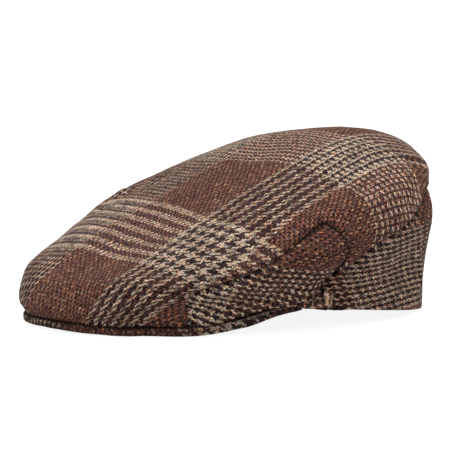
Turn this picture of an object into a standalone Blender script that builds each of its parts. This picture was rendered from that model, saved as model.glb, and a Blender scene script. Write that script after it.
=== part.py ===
# Flat cap of woven wool cloth, hollow, standing on the two corners of its peak and the back of its rim.
# Metres, +Z up. The front is towards -Y, and the wearer's left is +X. Each piece is shaped about the middle
# of the head opening and then moved, so that the origin is on the floor under the middle of the whole cap.
# A place on the crown is an angle, in degrees round from the front, and a level, in rings up from the rim.

import math

import bmesh
import bpy
from mathutils import Vector

# Driving sizes
HEAD_HALF_WIDTH = 0.086  # rim's outer side, from the middle of the head opening
HEAD_FRONT = 0.098  # forehead side of the opening, where the peak begins
CROWN_HALF_WIDTH = 0.103
CROWN_FRONT = 0.138
CROWN_BACK = 0.103
CROWN_HEIGHT = 0.101
CLOTH = 0.002  # wall of folded wool cloth
FRONT_ROUNDNESS = 2.1  # exponent of the outline: 2 is an ellipse
BACK_ROUNDNESS = 2.0

SEAM_GAP = 0.0004  # between the edges of two sewn panels
SEAM_DEPTH = 0.0013  # how far a seam sinks into the cloth
SEAM_SPREAD = 0.0032  # distance over which the cloth rises out of a seam
SEAM_FADE = 3  # spreads from a seam at which nothing of its dip is left
SHARPEST_CORNER = 0.4  # keeps the pull at a sharp corner of a panel short

PEAK_THICKNESS = 0.0045
PEAK_LIP = 0.0048  # how far the peak shows beyond the crown's lower edge
PEAK_END = 70.0  # angle at which the peak ends on the rim
PEAK_THINS_FROM = 45.0  # angle from which the peak gets thinner
PEAK_TAPER = 0.4  # share of its thickness that the peak loses at its ends
PEAK_SLOPE = 0.36  # rise of the peak towards the forehead
PEAK_ROUNDING = 0.0014
ROUNDED_FROM = 50.0  # degrees between two faces of the peak whose edge is rounded
ACROSS_STRIP = (0.0, 0.5, 1.0)  # lines on the level strip under the crown's edge
ACROSS_SLOPE = (0.2, 0.4, 0.7, 1.0)  # lines on the slope behind it
SEAT_GAP = 0.0005  # between the peak and the crown's lower edge
EDGE_LIFT = 0.010  # highest rise of the crown's lower edge above its resting height

# Rings of the crown, from the rim up. Reaches are shares of CROWN_HALF_WIDTH, CROWN_FRONT and CROWN_BACK,
# heights are shares of CROWN_HEIGHT, and shift moves a ring back by a share of CROWN_BACK.
RING_COLUMNS = ("side", "side_height", "front", "front_height", "back", "back_height", "shift")
RINGS = {
    "rim":      (0.835, 0.089, 0.964, 0.094, 1.000, 0.000, 0.000),
    "tuck":     (0.845, 0.218, 0.986, 0.109, 1.000, 0.218, 0.000),
    "flare":    (0.942, 0.356, 1.000, 0.139, 0.990, 0.426, 0.000),
    "swell":    (1.000, 0.475, 0.957, 0.238, 0.961, 0.614, 0.000),
    "seam":     (0.971, 0.594, 0.855, 0.307, 0.903, 0.733, 0.019),
    "shoulder": (0.893, 0.703, 0.696, 0.426, 0.913, 0.861, 0.049),
    "dome":     (0.660, 0.817, 0.478, 0.586, 0.757, 0.950, 0.117),
    "top":      (0.379, 0.915, 0.232, 0.813, 0.417, 1.000, 0.194),
    "pole":     (0.000, 0.960, 0.000, 0.960, 0.000, 0.960, 0.262),
}
RIM, POLE = 0, len(RINGS) - 1

# Lower edge of the crown: angle, how much of it is carried by the peak, and rise as a share of EDGE_LIFT
LOWER_EDGE = (
    (0, 1.0, 0.35),
    (18, 1.0, 0.22),
    (32, 1.0, 0.00),
    (40, 1.0, 0.00),
    (52, 1.0, 0.55),
    (62, 1.0, 0.82),
    (71, 1.0, 0.88),
    (78, 0.0, 0.97),
    (90, 0.0, 0.88),
    (130, 0.0, 0.24),
    (150, 0.0, 0.00),
    (180, 0.0, 0.00),
)

# Corners of the panels: angle and level
FRONT_FOOT = (36, 0.0)
FRONT_CORNER = (36.5, 2.15)
APEX = (73, 4.42)  # upper end of a side panel
JUNCTION = (82, 1.25)  # where the top, side and back panels meet
TUCK_FOOT = (81, 0.0)
BACK_FOOT = (180, 0.0)
BACK_TOP = (180, 4.0)
REAR_CORNER = (140, 4.0)
FRONT_MIDDLE = (0, 0.0)
FRONT_HIGH = (0, 2.15)
MIDDLE = (0, 6.7)  # on the centre line, across from the apex

# Seams, as places from one corner to the next
FRONT_END = (FRONT_FOOT, (36, 1.0), FRONT_CORNER)
SIDE_SEAM = (FRONT_CORNER, (45, 2.50), (54, 2.82), (62, 3.58), (69, 4.17), APEX)
HOOK_SEAM = (APEX, (78.5, 3.75), (83, 2.80), (84, 2.10), JUNCTION)
TUCK_SEAM = (TUCK_FOOT, JUNCTION)
BACK_SEAM = (JUNCTION, (86.5, 1.62), (93, 2.35), (103, 2.80), (113, 3.30), (124, 3.85), REAR_CORNER)
REAR_SEAM = (REAR_CORNER, (160, 4.0), BACK_TOP)

# Lines that aren't sewn: the rim, the centre line and a line across the crown
FRONT_RIM = (FRONT_MIDDLE, (18, 0.0), FRONT_FOOT)
SIDE_RIM = (FRONT_FOOT, (52, 0.0), (68, 0.0), TUCK_FOOT)
BACK_RIM = (TUCK_FOOT, (110, 0.0), (145, 0.0), BACK_FOOT)
CENTRE_BROW = (FRONT_MIDDLE, (0, 1.0), FRONT_HIGH)
CENTRE_FRONT = (FRONT_HIGH, (0, 3.5), (0, 5.0), MIDDLE)
CENTRE_REAR = (MIDDLE, (180, 8.0), (180, 6.0), BACK_TOP)
CENTRE_BACK = (BACK_FOOT, (180, 2.0), BACK_TOP)
APEX_LINE = (MIDDLE, (40, 5.9), APEX)

# Dents and swellings: angle and level of the middle, the spread of each, and the push in and to the front,
# as shares of CROWN_HALF_WIDTH. A push in below zero is a swelling.
DENT_COLUMNS = ("angle", "level", "angle_spread", "level_spread", "push_in", "push_forward")
DENTS = {
    "corner_tuck":  (82, 1.15, 6.5, 0.75, 0.048, 0.040),
    "tongue_fold":  (92, 2.30, 8.0, 0.75, 0.022, 0.000),
    "leaf_puff":    (66, 3.30, 11.0, 0.80, -0.018, 0.000),
    "apex_puff":    (80, 4.90, 12.0, 0.65, -0.016, 0.000),
    "side_hollow":  (58, 1.60, 14.0, 0.80, 0.018, 0.000),
    "back_crease":  (120, 5.35, 6.0, 0.22, 0.022, 0.000),
    "back_puff":    (120, 2.60, 12.0, 0.80, -0.012, 0.000),
    "rear_fold":    (152, 3.00, 7.0, 0.70, 0.014, 0.000),
}

# Cells of the panels
FRONT_END_CELLS = 4
SIDE_SEAM_CELLS = 14
HOOK_CELLS = 8
TUCK_CELLS = 6
BACK_SEAM_CELLS = 14
REAR_CELLS = 8
PEAK_CELLS = 15
REAR_ROWS = 16
ACROSS_TOP = (0.0, 0.09, 0.18, 0.27, 0.36, 0.45, 0.54, 0.62, 0.70, 0.78, 0.85, 0.91, 0.95, 0.98, 1.0)
FINE_STEPS = 24  # steps per station when the real length of a seam is measured
NORMAL_STEP = 0.004  # on the flat map
TOUCH = 0.000001
HALVES_MERGE = 0.00001  # metres


def clear_scene():
    for obj in list(bpy.data.objects):
        bpy.data.objects.remove(obj, do_unlink=True)


def hermite(before, start, end, after, spans, share):
    """Smooth value between start and end, with each slope taken from the neighbours on both sides."""
    slope_start = (end - before) / (spans[0] + spans[1]) * spans[1]
    slope_end = (after - start) / (spans[1] + spans[2]) * spans[1]
    s2, s3 = share**2, share**3
    return (
        start * (2 * s3 - 3 * s2 + 1)
        + slope_start * (s3 - 2 * s2 + share)
        + end * (3 * s2 - 2 * s3)
        + slope_end * (s3 - s2)
    )


def from_table(rows, column, at):
    """A column of a table read at a value of its first column, on a smooth curve through the rows."""
    last = len(rows) - 1
    at = min(max(at, rows[0][0]), rows[last][0])
    i = max(k for k in range(last) if rows[k][0] <= at)
    before, after = rows[max(i - 1, 0)], rows[min(i + 2, last)]
    start, end = rows[i], rows[i + 1]
    span = end[0] - start[0]
    spans = (start[0] - before[0], span, after[0] - end[0])
    share = (at - start[0]) / span
    return hermite(before[column], start[column], end[column], after[column], spans, share)


def peak_thickness(angle):
    share = max(angle - PEAK_THINS_FROM, 0.0) / (PEAK_END - PEAK_THINS_FROM)
    return PEAK_THICKNESS * (1 - PEAK_TAPER * share**2)


def lower_edge_height(angle):
    carried = min(max(from_table(LOWER_EDGE, 1, angle), 0.0), 1.0)
    rise = max(from_table(LOWER_EDGE, 2, angle), 0.0)
    return carried * (PEAK_THICKNESS + SEAT_GAP) + rise * EDGE_LIFT


def outline_radius(side, end, roundness, angle):
    """Distance from the middle to a rounded outline with these two half axes."""
    turn = math.radians(angle)
    across, along = abs(math.sin(turn)) / side, abs(math.cos(turn)) / end
    return (across**roundness + along**roundness) ** (-1 / roundness)


def ring_point(ring, angle):
    row = dict(zip(RING_COLUMNS, list(RINGS.values())[ring]))
    turn = math.radians(angle)
    lengthwise = -math.cos(turn)
    if ring == POLE:
        radius = 0.0
    else:
        side = HEAD_HALF_WIDTH if ring == RIM else row["side"] * CROWN_HALF_WIDTH
        ahead = lengthwise < 0
        end = row["front"] * CROWN_FRONT if ahead else row["back"] * CROWN_BACK
        radius = outline_radius(side, end, FRONT_ROUNDNESS if ahead else BACK_ROUNDNESS, angle)
    if ring == RIM:
        height = lower_edge_height(abs(angle))
    else:
        tilt = (row["back_height"] - row["front_height"]) / 2
        droop = (row["back_height"] + row["front_height"]) / 2 - row["side_height"]
        height = (row["side_height"] + tilt * lengthwise + droop * lengthwise**2) * CROWN_HEIGHT
    shift = row["shift"] * CROWN_BACK
    return Vector((radius * math.sin(turn), radius * lengthwise + shift, height))


def smooth_crown_point(angle, level):
    """A point on the crown before its dents: a smooth curve up through the rings at one angle."""
    i = min(int(level), POLE - 1)
    share = level - i
    start, end = ring_point(i, angle), ring_point(i + 1, angle)
    before = ring_point(i - 1, angle) if i > RIM else 2 * start - end
    # Past the pole the curve goes on down the other side, so that the top is level.
    after = ring_point(i + 2, angle) if i < POLE - 1 else ring_point(POLE - 1, angle + 180)
    return hermite(before, start, end, after, (1, 1, 1), share)


def crown_point(angle, level):
    point = smooth_crown_point(angle, level)
    turn = math.radians(angle)
    outward = Vector((math.sin(turn), -math.cos(turn), 0))
    backward = Vector((math.cos(turn), math.sin(turn), 0))
    for values in DENTS.values():
        dent = dict(zip(DENT_COLUMNS, values))
        off_angle = (angle - dent["angle"]) / dent["angle_spread"]
        off_level = (level - dent["level"]) / dent["level_spread"]
        strength = math.exp(-(off_angle**2) - off_level**2) * CROWN_HALF_WIDTH
        # The rim keeps its line: a dent fades out towards it.
        strength *= min(level, 1.0)
        point -= outward * dent["push_in"] * strength
        point -= backward * dent["push_forward"] * strength
    return point


def to_disc(angle, level):
    """Flat map of the crown: the pole is the middle and the rim is a circle of radius 1."""
    radius = (POLE - level) / POLE
    turn = math.radians(angle)
    return Vector((radius * math.sin(turn), -radius * math.cos(turn)))


def from_disc(place):
    level = POLE * (1 - place.length)
    return math.degrees(math.atan2(place.x, -place.y)), min(max(level, 0.0), float(POLE))


def spaced(stations, shares):
    """Places on the smooth line through the stations, at these shares of its real length on the crown."""
    last = len(stations) - 1
    places = []
    for i in range(last):
        start, end = to_disc(*stations[i]), to_disc(*stations[i + 1])
        before = to_disc(*stations[i - 1]) if i else 2 * start - end
        after = to_disc(*stations[i + 2]) if i + 1 < last else 2 * end - start
        places += [hermite(before, start, end, after, (1, 1, 1), k / FINE_STEPS) for k in range(FINE_STEPS)]
    places.append(to_disc(*stations[last]))
    points = [crown_point(*from_disc(place)) for place in places]
    run = [0.0]
    for a, b in zip(points, points[1:]):
        run.append(run[-1] + (b - a).length)
    found = []
    for share in shares:
        want = share * run[-1]
        i = max(k for k in range(len(run) - 1) if run[k] <= want)
        found.append(places[i].lerp(places[i + 1], (want - run[i]) / (run[i + 1] - run[i])))
    if all(level == RIM for _, level in stations):
        found = [place.normalized() for place in found]
    return found


def even(cells):
    return [k / cells for k in range(cells + 1)]


def patch(low, high, near, far, shares=None):
    """Grid of places inside four sides: low and high run along, near and far run up at the given shares."""
    rows = len(near) - 1
    shares = shares or even(len(low) - 1)
    grid = []
    for j in range(rows + 1):
        v = j / rows
        row = []
        for i, u in enumerate(shares):
            along = low[i] * (1 - v) + high[i] * v
            across = near[j] * (1 - u) + far[j] * u
            corners = (low[0] * (1 - u) + low[-1] * u) * (1 - v) + (high[0] * (1 - u) + high[-1] * u) * v
            row.append(along + across - corners)
        grid.append(row)
    return grid


def outward_normal(place):
    right, back = Vector((NORMAL_STEP, 0)), Vector((0, NORMAL_STEP))
    across = crown_point(*from_disc(place + right)) - crown_point(*from_disc(place - right))
    along = crown_point(*from_disc(place + back)) - crown_point(*from_disc(place - back))
    return across.cross(along).normalized()


def sunk_point(place, seam_points):
    """A point of the crown, sunk where it is near a seam."""
    point = crown_point(*from_disc(place))
    reach = min((point - other).length for other in seam_points) / SEAM_SPREAD
    if reach > SEAM_FADE:
        return point
    return point - outward_normal(place) * SEAM_DEPTH * math.exp(-(reach**2))


def draw_back_from_seams(mesh_edit, rim):
    """Moves each sewn edge of an open panel into the panel by half the seam's gap."""
    moves = {}
    for edge in mesh_edit.edges:
        if not edge.is_boundary:
            continue
        on_centre = all(abs(v.co.x) < TOUCH for v in edge.verts)
        on_rim = all(v.index in rim for v in edge.verts)
        if on_centre or on_rim:
            continue
        along = (edge.verts[1].co - edge.verts[0].co).normalized()
        middle = edge.link_faces[0].calc_center_median()
        inward = middle - edge.verts[0].co
        inward = (inward - along * inward.dot(along)).normalized()
        for vertex in edge.verts:
            moves.setdefault(vertex, []).append(inward)
    for vertex, pulls in moves.items():
        pull = pulls[0]
        if len(pulls) == 2:
            # At a corner the move is long enough to clear both edges.
            pull = (pulls[0] + pulls[1]) / max(1 + pulls[0].dot(pulls[1]), SHARPEST_CORNER)
        vertex.co += pull * SEAM_GAP / 2


def cloth_material(name, colour, roughness):
    material = bpy.data.materials.new(name)
    material.use_nodes = True
    shader = material.node_tree.nodes["Principled BSDF"]
    shader.inputs["Base Color"].default_value = (*colour, 1)
    shader.inputs["Roughness"].default_value = roughness
    shader.inputs["Metallic"].default_value = 0.0
    return material


def panel_object(name, grids, seams, material, collection, side=1):
    """An open panel of the crown, from grids of places that share their edges, mirrored in X on side -1."""
    seam_points = [crown_point(*from_disc(place)) for seam in seams for place in seam]
    found, points, on_rim, faces = {}, [], set(), []

    def vertex_at(place):
        key = (round(place.x, 5), round(place.y, 5))
        if key not in found:
            found[key] = len(points)
            point = sunk_point(place, seam_points)
            if abs(place.x) < TOUCH:
                point.x = 0.0
            if 1 - place.length < TOUCH:
                on_rim.add(len(points))
            points.append(point)
        return found[key]

    for grid in grids:
        for lower, upper in zip(grid, grid[1:]):
            for i in range(len(lower) - 1):
                corners = [vertex_at(place) for place in (lower[i], lower[i + 1], upper[i + 1], upper[i])]
                faces.append(list(dict.fromkeys(corners)))
    mesh = bpy.data.meshes.new(name)
    mesh.from_pydata(points, [], faces)
    mesh_edit = bmesh.new()
    mesh_edit.from_mesh(mesh)
    draw_back_from_seams(mesh_edit, on_rim)
    if side < 0:
        bmesh.ops.scale(mesh_edit, vec=(-1, 1, 1), verts=mesh_edit.verts)
        bmesh.ops.reverse_faces(mesh_edit, faces=mesh_edit.faces)
    mesh_edit.to_mesh(mesh)
    mesh_edit.free()
    return finished_object(name, mesh, material, collection)


def finished_object(name, mesh, material, collection):
    mesh.shade_smooth()
    mesh.materials.append(material)
    obj = bpy.data.objects.new(name, mesh)
    obj.location.y = (CROWN_FRONT - CROWN_BACK) / 2
    collection.objects.link(obj)
    return obj


def mirror_in_x(obj):
    modifier = obj.modifiers.new("halves", "MIRROR")
    modifier.use_axis = (True, False, False)
    modifier.merge_threshold = HALVES_MERGE


def give_wall(obj, thickness, offset):
    modifier = obj.modifiers.new("wall", "SOLIDIFY")
    modifier.thickness = thickness
    modifier.offset = offset
    modifier.use_even_offset = False


def make_top_panel(material, collection):
    """Half of the panel in two grids: one before the apex of the side panel, and one behind it."""
    side_line = spaced(FRONT_END, even(FRONT_END_CELLS)) + spaced(SIDE_SEAM, even(SIDE_SEAM_CELLS))[1:]
    front_line = spaced(CENTRE_BROW, even(FRONT_END_CELLS)) + spaced(CENTRE_FRONT, even(SIDE_SEAM_CELLS))[1:]
    to_apex = spaced(APEX_LINE, ACROSS_TOP)
    front_grid = patch(spaced(FRONT_RIM, ACROSS_TOP), to_apex, front_line, side_line, ACROSS_TOP)

    hook = spaced(HOOK_SEAM, even(HOOK_CELLS))
    rear = spaced(REAR_SEAM[::-1], even(REAR_CELLS)) + spaced(BACK_SEAM[::-1], even(BACK_SEAM_CELLS))[1:]
    tip = [hook[-1]] * (REAR_ROWS + 1)
    rear_grid = patch(to_apex + hook[1:], rear, spaced(CENTRE_REAR, even(REAR_ROWS)), tip)

    obj = panel_object("top_panel", (front_grid, rear_grid), (side_line, hook, rear), material, collection)
    mirror_in_x(obj)
    give_wall(obj, CLOTH, -1)


def make_side_panel(name, side, material, collection):
    far = spaced(TUCK_SEAM, even(TUCK_CELLS)) + spaced(HOOK_SEAM[::-1], even(HOOK_CELLS))[1:]
    near = spaced(FRONT_END, even(TUCK_CELLS + HOOK_CELLS))
    high = spaced(SIDE_SEAM, even(SIDE_SEAM_CELLS))
    grid = patch(spaced(SIDE_RIM, even(SIDE_SEAM_CELLS)), high, near, far)
    obj = panel_object(name, (grid,), (near, high, far), material, collection, side)
    give_wall(obj, CLOTH, -1)


def make_back_panel(material, collection):
    low = spaced(BACK_RIM, even(BACK_SEAM_CELLS + REAR_CELLS))
    high = spaced(BACK_SEAM, even(BACK_SEAM_CELLS)) + spaced(REAR_SEAM, even(REAR_CELLS))[1:]
    near = spaced(TUCK_SEAM, even(TUCK_CELLS))
    grid = patch(low, high, near, spaced(CENTRE_BACK, even(TUCK_CELLS)))
    obj = panel_object("back_panel", (grid,), (near, high), material, collection)
    mirror_in_x(obj)
    give_wall(obj, CLOTH, -1)


def grid_mesh(name, lines):
    columns = len(lines[0])
    faces = []
    for j in range(len(lines) - 1):
        for i in range(columns - 1):
            corner = j * columns + i
            faces.append((corner, corner + 1, corner + columns + 1, corner + columns))
    mesh = bpy.data.meshes.new(name)
    mesh.from_pydata([point for line in lines for point in line], [], faces)
    return mesh


def peak_line(on_strip, on_slope):
    """A line along the peak's underside, at a share of the way across its level strip and then its slope."""
    row = dict(zip(RING_COLUMNS, RINGS["rim"]))
    strip = PEAK_LIP + CLOTH + 2 * SEAT_GAP
    line = []
    for k in range(PEAK_CELLS + 1):
        angle = PEAK_END * k / PEAK_CELLS
        turn = math.radians(angle)
        crown_edge = outline_radius(HEAD_HALF_WIDTH, row["front"] * CROWN_FRONT, FRONT_ROUNDNESS, angle)
        # The lip narrows to nothing where the peak ends.
        outer = crown_edge + PEAK_LIP * (1 - (angle / PEAK_END) ** 3)
        inner = outline_radius(HEAD_HALF_WIDTH - 2 * CLOTH, HEAD_FRONT, FRONT_ROUNDNESS, angle)
        level = min(strip, (outer - inner) / 2)
        inward = level * on_strip + (outer - inner - level) * on_slope
        under = lower_edge_height(angle) - SEAT_GAP - peak_thickness(angle)
        height = max(under, 0.0) + PEAK_SLOPE * max(inward - strip, 0.0)
        radius = outer - inward
        line.append(Vector((radius * math.sin(turn), -radius * math.cos(turn), height)))
    return line


def make_peak(material, collection):
    """The peak's underside, thickened upwards to meet the crown's lower edge."""
    lines = [peak_line(share, 0.0) for share in ACROSS_STRIP]
    lines += [peak_line(1.0, share) for share in ACROSS_SLOPE]
    obj = finished_object("peak", grid_mesh("peak", lines), material, collection)
    thickness = obj.vertex_groups.new(name="thickness")
    for vertex in obj.data.vertices:
        angle = math.degrees(math.atan2(vertex.co.x, -vertex.co.y))
        thickness.add([vertex.index], peak_thickness(angle) / PEAK_THICKNESS, "REPLACE")
    mirror_in_x(obj)
    give_wall(obj, PEAK_THICKNESS, 1)
    obj.modifiers["wall"].vertex_group = thickness.name
    bevel = obj.modifiers.new("rounded_edge", "BEVEL")
    bevel.width = PEAK_ROUNDING
    bevel.segments = 2
    bevel.limit_method = "ANGLE"
    bevel.angle_limit = math.radians(ROUNDED_FROM)


def main():
    clear_scene()
    collection = bpy.data.collections.new("flat_cap")
    bpy.context.scene.collection.children.link(collection)
    checked_wool = cloth_material("checked_wool", (0.20, 0.13, 0.09), 0.92)
    dark_wool = cloth_material("dark_wool", (0.11, 0.075, 0.055), 0.92)
    make_top_panel(checked_wool, collection)
    for name, side in (("side_panel_left", 1), ("side_panel_right", -1)):
        make_side_panel(name, side, checked_wool, collection)
    make_back_panel(checked_wool, collection)
    make_peak(dark_wool, collection)


main()
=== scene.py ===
import math

import bmesh
import bpy
import numpy as np
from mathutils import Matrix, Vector, noise
from mathutils.kdtree import KDTree


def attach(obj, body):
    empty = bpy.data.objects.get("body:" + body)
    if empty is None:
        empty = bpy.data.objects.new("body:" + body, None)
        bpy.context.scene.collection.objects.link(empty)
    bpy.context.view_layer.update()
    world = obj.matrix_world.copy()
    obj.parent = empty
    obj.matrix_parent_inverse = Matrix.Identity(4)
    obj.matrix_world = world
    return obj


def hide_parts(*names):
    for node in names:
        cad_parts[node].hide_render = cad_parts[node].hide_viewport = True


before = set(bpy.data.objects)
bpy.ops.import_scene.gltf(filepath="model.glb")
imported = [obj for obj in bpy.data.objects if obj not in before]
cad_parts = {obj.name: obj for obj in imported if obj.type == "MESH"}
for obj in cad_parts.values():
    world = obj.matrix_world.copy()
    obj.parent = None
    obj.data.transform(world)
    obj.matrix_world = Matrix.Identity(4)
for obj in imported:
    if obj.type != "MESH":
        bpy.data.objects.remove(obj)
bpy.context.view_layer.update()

# Flat cap of checked wool. The front is towards -Y and the wearer's left is +X, as in the CAD.
# The cloth's own coordinates are kept in the UV map "cloth", in metres: first across the warp yarns, then
# along them.

mm = 0.001
cadWall = 2.0 * mm
twinSlack = 0.04 * mm  # how far a wall in the CAD's mesh may be from that thickness
headMiddle = 0.0175  # y of the head opening's middle, in m
rimHeight = 16.0  # mm, below which no sewn edge goes down
clothMap = "cloth"
paintedShadeMap = "seam"  # how far each point is darkened by painted shade, along a seam or under the crown's edge on the peak, from 0 to 1

camera = {
    "place": (0.94387, -0.70676, 0.15663),
    "look": (-1.7030, 1.2734, -0.1952),
    "lens": 170.69,
    "sensor": 36.0,
    "clip": (0.05, 20.0),
}
light = {
    "aim": (0, 0, 0.05),
    "skyStrength": 1.18,
    "key": {"place": (0.2, 0.5, 2.4), "size": 1.6, "power": 52.0},
    "fill": {"place": (0.7, -2.1, 0.9), "size": 1.6, "power": 8.0},
    "rim": {"place": (-0.5, 1.5, 2.0), "size": 1.6, "power": 12.0},
    "floorSize": 60.0,
    "floorColour": (0.13, 0.13, 0.13),
    "floorRoughness": 0.9,
    "floorGlow": 0.89,  # a lit table top, so that the shadows stay pale
}


def deselectAll():
    if bpy.context.mode != "OBJECT":
        bpy.ops.object.mode_set(mode="OBJECT")
    bpy.ops.object.select_all(action="DESELECT")


def makeActive(ob):
    deselectAll()
    ob.select_set(True)
    bpy.context.view_layer.objects.active = ob


def applyModifier(ob, kind, **values):
    makeActive(ob)
    modifier = ob.modifiers.new(kind.lower(), kind)
    for name, value in values.items():
        setattr(modifier, name, value)
    bpy.ops.object.modifier_apply(modifier=modifier.name)


def setCamera():
    data = bpy.data.cameras.new("camera")
    data.lens, data.sensor_width = camera["lens"], camera["sensor"]
    data.clip_start, data.clip_end = camera["clip"]
    ob = bpy.data.objects.new("camera", data)
    bpy.context.scene.collection.objects.link(ob)
    ob.location = camera["place"]
    ob.rotation_euler = Vector(camera["look"]).to_track_quat("-Z", "Y").to_euler()
    bpy.context.scene.camera = ob


def addSoftBox(name, values):
    data = bpy.data.lights.new(name, "AREA")
    data.shape, data.size, data.energy = "DISK", values["size"], values["power"]
    ob = bpy.data.objects.new(name, data)
    bpy.context.scene.collection.objects.link(ob)
    ob.location = values["place"]
    ob.rotation_euler = (Vector(light["aim"]) - ob.location).to_track_quat("-Z", "Y").to_euler()


def setStudio():
    scene = bpy.context.scene
    scene.view_settings.view_transform = "Standard"
    scene.view_settings.look = "None"
    world = bpy.data.worlds.new("studioSky")
    world.use_nodes = True
    sky = world.node_tree.nodes["Background"]
    sky.inputs["Color"].default_value = (1.0, 1.0, 1.0, 1.0)
    sky.inputs["Strength"].default_value = light["skyStrength"]
    scene.world = world
    for name in ("key", "fill", "rim"):
        addSoftBox(name + "Light", light[name])
    deselectAll()
    bpy.ops.mesh.primitive_plane_add(size=light["floorSize"], location=(0, 0, 0))
    floor = bpy.context.object
    floor.name = "studioFloor"
    material = bpy.data.materials.new("paleFloor")
    material.use_nodes = True
    shader = material.node_tree.nodes["Principled BSDF"]
    shader.inputs["Base Color"].default_value = (*light["floorColour"], 1.0)
    shader.inputs["Roughness"].default_value = light["floorRoughness"]
    shader.inputs["Emission Color"].default_value = (1.0, 1.0, 1.0, 1.0)
    shader.inputs["Emission Strength"].default_value = light["floorGlow"]
    floor.data.materials.append(material)


setCamera()
setStudio()
print("camera, floor and light are set")


weave = {
    "warpPitch": 1.0,  # mm from one yarn to the next
    "weftPitch": 1.0,
    # Bands of each yarn direction, in yarns: start, end, and the length of one light and dark pair
    "warpBands": ((0, 52, 8), (112, 174, 4)),
    "warpRepeat": 238,
    "weftBands": ((0, 52, 8), (108, 154, 4)),
    "weftRepeat": 222,
    # Each yarn is spun from wool of several colours: place in the spin, colour
    "cream": ((0.20, (0.119, 0.074, 0.054)), (0.36, (0.302, 0.224, 0.164)), (0.52, (0.477, 0.381, 0.288)),
              (0.68, (0.366, 0.269, 0.200)), (0.84, (0.174, 0.093, 0.064))),
    "dark": ((0.25, (0.010, 0.006, 0.007)), (0.48, (0.024, 0.013, 0.012)), (0.64, (0.066, 0.038, 0.033)),
             (0.80, (0.018, 0.012, 0.016))),
    "rust": ((0.10, (0.119, 0.084, 0.093)), (0.22, (0.216, 0.046, 0.035)), (0.34, (0.024, 0.011, 0.009)),
             (0.45, (0.162, 0.051, 0.029)), (0.54, (0.081, 0.052, 0.022)), (0.64, (0.270, 0.111, 0.083)),
             (0.75, (0.024, 0.011, 0.012)), (0.86, (0.216, 0.080, 0.033)), (0.97, (0.270, 0.174, 0.102))),
    "brown": ((0.14, (0.006, 0.003, 0.004)), (0.28, (0.066, 0.027, 0.019)), (0.42, (0.012, 0.005, 0.005)),
              (0.56, (0.052, 0.022, 0.015)), (0.70, (0.009, 0.005, 0.005)), (0.84, (0.085, 0.045, 0.033))),
    "warpGround": 1.26,  # the ground's warp is brighter than its weft
    "weftGround": 0.72,
    "fibreScale": 0.85,  # colour changes per yarn's width
    "fibreLength": 0.6,  # and how many of them there are along the yarn
    "fibreSpread": 2.2,
    "floatContrast": 0.75,
    "yarnContrast": 0.14,
    "floatSpin": 0.60,
    "floatEnds": (0.65, 0.35),  # a float's height falls by the first and keeps the second at its ends
    # How dark the painted shade along the seams and under the crown's edge gets
    "paintedShadeStrength": 0.95,
    # A yarn strays from its line by so many yarns, with so many turns per yarn's width
    "wander": {"yarns": 1.1, "scale": 0.11},
    "wriggle": {"yarns": 1.3, "scale": 0.5},
    "fray": {"yarns": 0.8, "scale": 1.9},
    # Specks lighter or darker, redder or bluer, and greener
    "fleck": {"share": 1.1, "scale": 0.8},
    "hueFleck": {"share": 1.6, "scale": 0.55},
    "greenFleck": {"share": 1.2, "scale": 0.6},
    "dyePatches": {"share": 0.40, "least": 0.80, "scale": 0.045},
    "yarnLightAndShade": (1.05, 0.32),  # painted light on a yarn's back, and the share left in the painted shade between the yarns
    "fuzz": {"height": 0.35, "scale": 3.1},
    # Places far apart in the noise, so that no two of its uses are alike
    "noisePlaces": {"fray": 77.0, "fibre": 57.0, "weft": 301.0, "warpYarn": 17.0, "weftYarn": 31.0},
    "yarnHeight": 0.34,  # mm
    "bumpStrength": 0.75,
    "roughness": (0.82, 1.0),
    "gloss": {
        "Specular IOR Level": 0.06,
        "Sheen Weight": 0.01,
        "Sheen Roughness": 0.55,
        "Sheen Tint": (0.85, 0.72, 0.62, 1.0),
    },
}


class NodeBench:
    # Puts nodes into one material's tree, and takes numbers or sockets alike

    def __init__(self, material):
        material.use_nodes = True
        self.tree = material.node_tree
        self.shader = self.tree.nodes["Principled BSDF"]

    def node(self, kind, inputs=None, **values):
        new = self.tree.nodes.new(kind)
        for name, value in values.items():
            setattr(new, name, value)
        for name, value in (inputs or {}).items():
            self.feed(new.inputs[name], value)
        return new

    def feed(self, socket, value):
        if isinstance(value, bpy.types.NodeSocket):
            self.tree.links.new(value, socket)
        else:
            socket.default_value = value

    def math(self, operation, a, b=0.0, c=0.0):
        return self.node("ShaderNodeMath", {0: a, 1: b, 2: c}, operation=operation).outputs[0]

    def blend(self, share, a, b):
        mix = self.node("ShaderNodeMix", data_type="RGBA", clamp_factor=True)
        self.feed(mix.inputs["Factor"], share)
        for socket, value in zip([s for s in mix.inputs if s.type == "RGBA"], (a, b)):
            self.feed(socket, (*value, 1.0) if isinstance(value, tuple) else value)
        return next(s for s in mix.outputs if s.type == "RGBA")

    def ramp(self, share, stops):
        ramp = self.node("ShaderNodeValToRGB", {0: share})
        elements = ramp.color_ramp.elements
        while len(elements) < len(stops):
            elements.new(0.5)
        for element, (place, colour) in zip(elements, stops):
            element.position, element.color = place, (*colour, 1.0)
        return ramp.outputs["Color"]

    def scaled(self, colour, share):
        vector = self.node("ShaderNodeVectorMath", {0: colour}, operation="SCALE")
        self.feed(vector.inputs["Scale"], share)
        return vector.outputs[0]

    def spot(self, x, y, scale, detail=2.0, roughness=0.6):
        place = self.node("ShaderNodeCombineXYZ", {0: x, 1: y}).outputs[0]
        inputs = {"Vector": place, "Scale": scale, "Detail": detail, "Roughness": roughness}
        return self.node("ShaderNodeTexNoise", inputs, noise_dimensions="2D").outputs["Fac"]

    def speck(self, x, y):
        place = self.node("ShaderNodeCombineXYZ", {0: x, 1: y}).outputs[0]
        return self.node("ShaderNodeTexWhiteNoise", {"Vector": place}, noise_dimensions="2D").outputs["Value"]


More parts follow.
